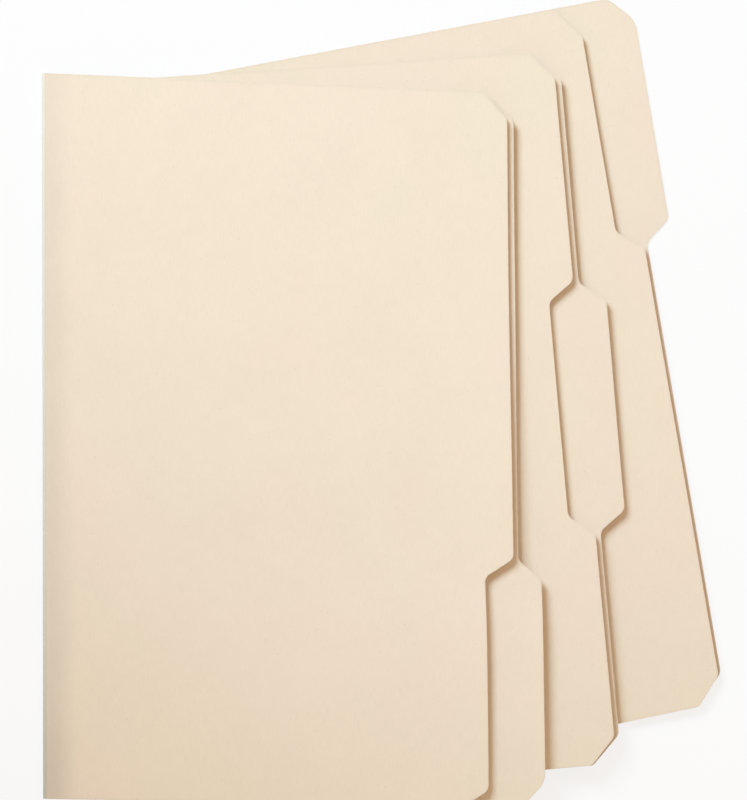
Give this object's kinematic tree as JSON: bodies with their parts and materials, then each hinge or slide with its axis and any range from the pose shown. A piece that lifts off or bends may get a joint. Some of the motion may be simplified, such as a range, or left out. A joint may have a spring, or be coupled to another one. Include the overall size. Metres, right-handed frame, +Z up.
{
  "type": "manila file folder set",
  "caption": "Fanned set of letter-size manila card file folders with third-cut tabs, undercut front leaves that open at a rounded fold.",
  "frame": {"origin": "centre of the set's bounding box, on the surface that the rear folder lies on", "axes": "+Z up, out of the leaves; -Y from the head of the front folder to its foot along the fold; +X from its fold to its tab"},
  "size_m": [0.3384, 0.3416, 0.0149],
  "materials": {
    "manila_card": "matte, lightly calendered buff card with fine fibres"
  },
  "bodies": {
    "rear_folder_back": {"rear_folder_back_leaf": "manila_card", "rear_folder_fold": "manila_card"},
    "rear_folder_front": {"rear_folder_front_leaf": "manila_card"},
    "middle_folder_back": {"middle_folder_back_leaf": "manila_card", "middle_folder_fold": "manila_card"},
    "middle_folder_front": {"middle_folder_front_leaf": "manila_card"},
    "front_folder_back": {"front_folder_back_leaf": "manila_card", "front_folder_fold": "manila_card"},
    "front_folder_front": {"front_folder_front_leaf": "manila_card"}
  },
  "joints": [
    {"name": "rear_leaf_opening", "type": "hinge", "parent": "rear_folder_back", "child": "rear_folder_front", "pos_m": [-0.08032, -0.01903, 0.00088], "axis": [0.1917, -0.9815, 0], "range_deg": [0, 30], "deforming": ["rear_folder_fold"]},
    {"name": "upper_folders_tip", "type": "hinge", "parent": "rear_folder_back", "child": "middle_folder_back", "pos_m": [-0.16831, -0.02061, 0.00251], "axis": [0.0001, -1, -0.0055], "range_deg": [0, 24]},
    {"name": "middle_leaf_opening", "type": "hinge", "parent": "middle_folder_back", "child": "middle_folder_front", "pos_m": [-0.12657, -0.0221, 0.0021], "axis": [0.0929, -0.9957, -0.0018], "range_deg": [0, 30], "deforming": ["middle_folder_fold"]},
    {"name": "front_folder_tip", "type": "hinge", "parent": "middle_folder_back", "child": "front_folder_back", "pos_m": [-0.16831, -0.02061, 0.00251], "axis": [0.0001, -1, -0.0055], "range_deg": [0, 26.85]},
    {"name": "front_leaf_opening", "type": "hinge", "parent": "front_folder_back", "child": "front_folder_front", "pos_m": [-0.16831, -0.02061, 0.00251], "axis": [0.0001, -1, -0.0055], "range_deg": [0, 125], "deforming": ["front_folder_fold"]}
  ],
  "couplings": [
    {"joint": "upper_folders_tip", "follows": "rear_leaf_opening", "ratio": 0.8},
    {"joint": "front_folder_tip", "follows": "middle_leaf_opening", "ratio": 0.895}
  ]
}
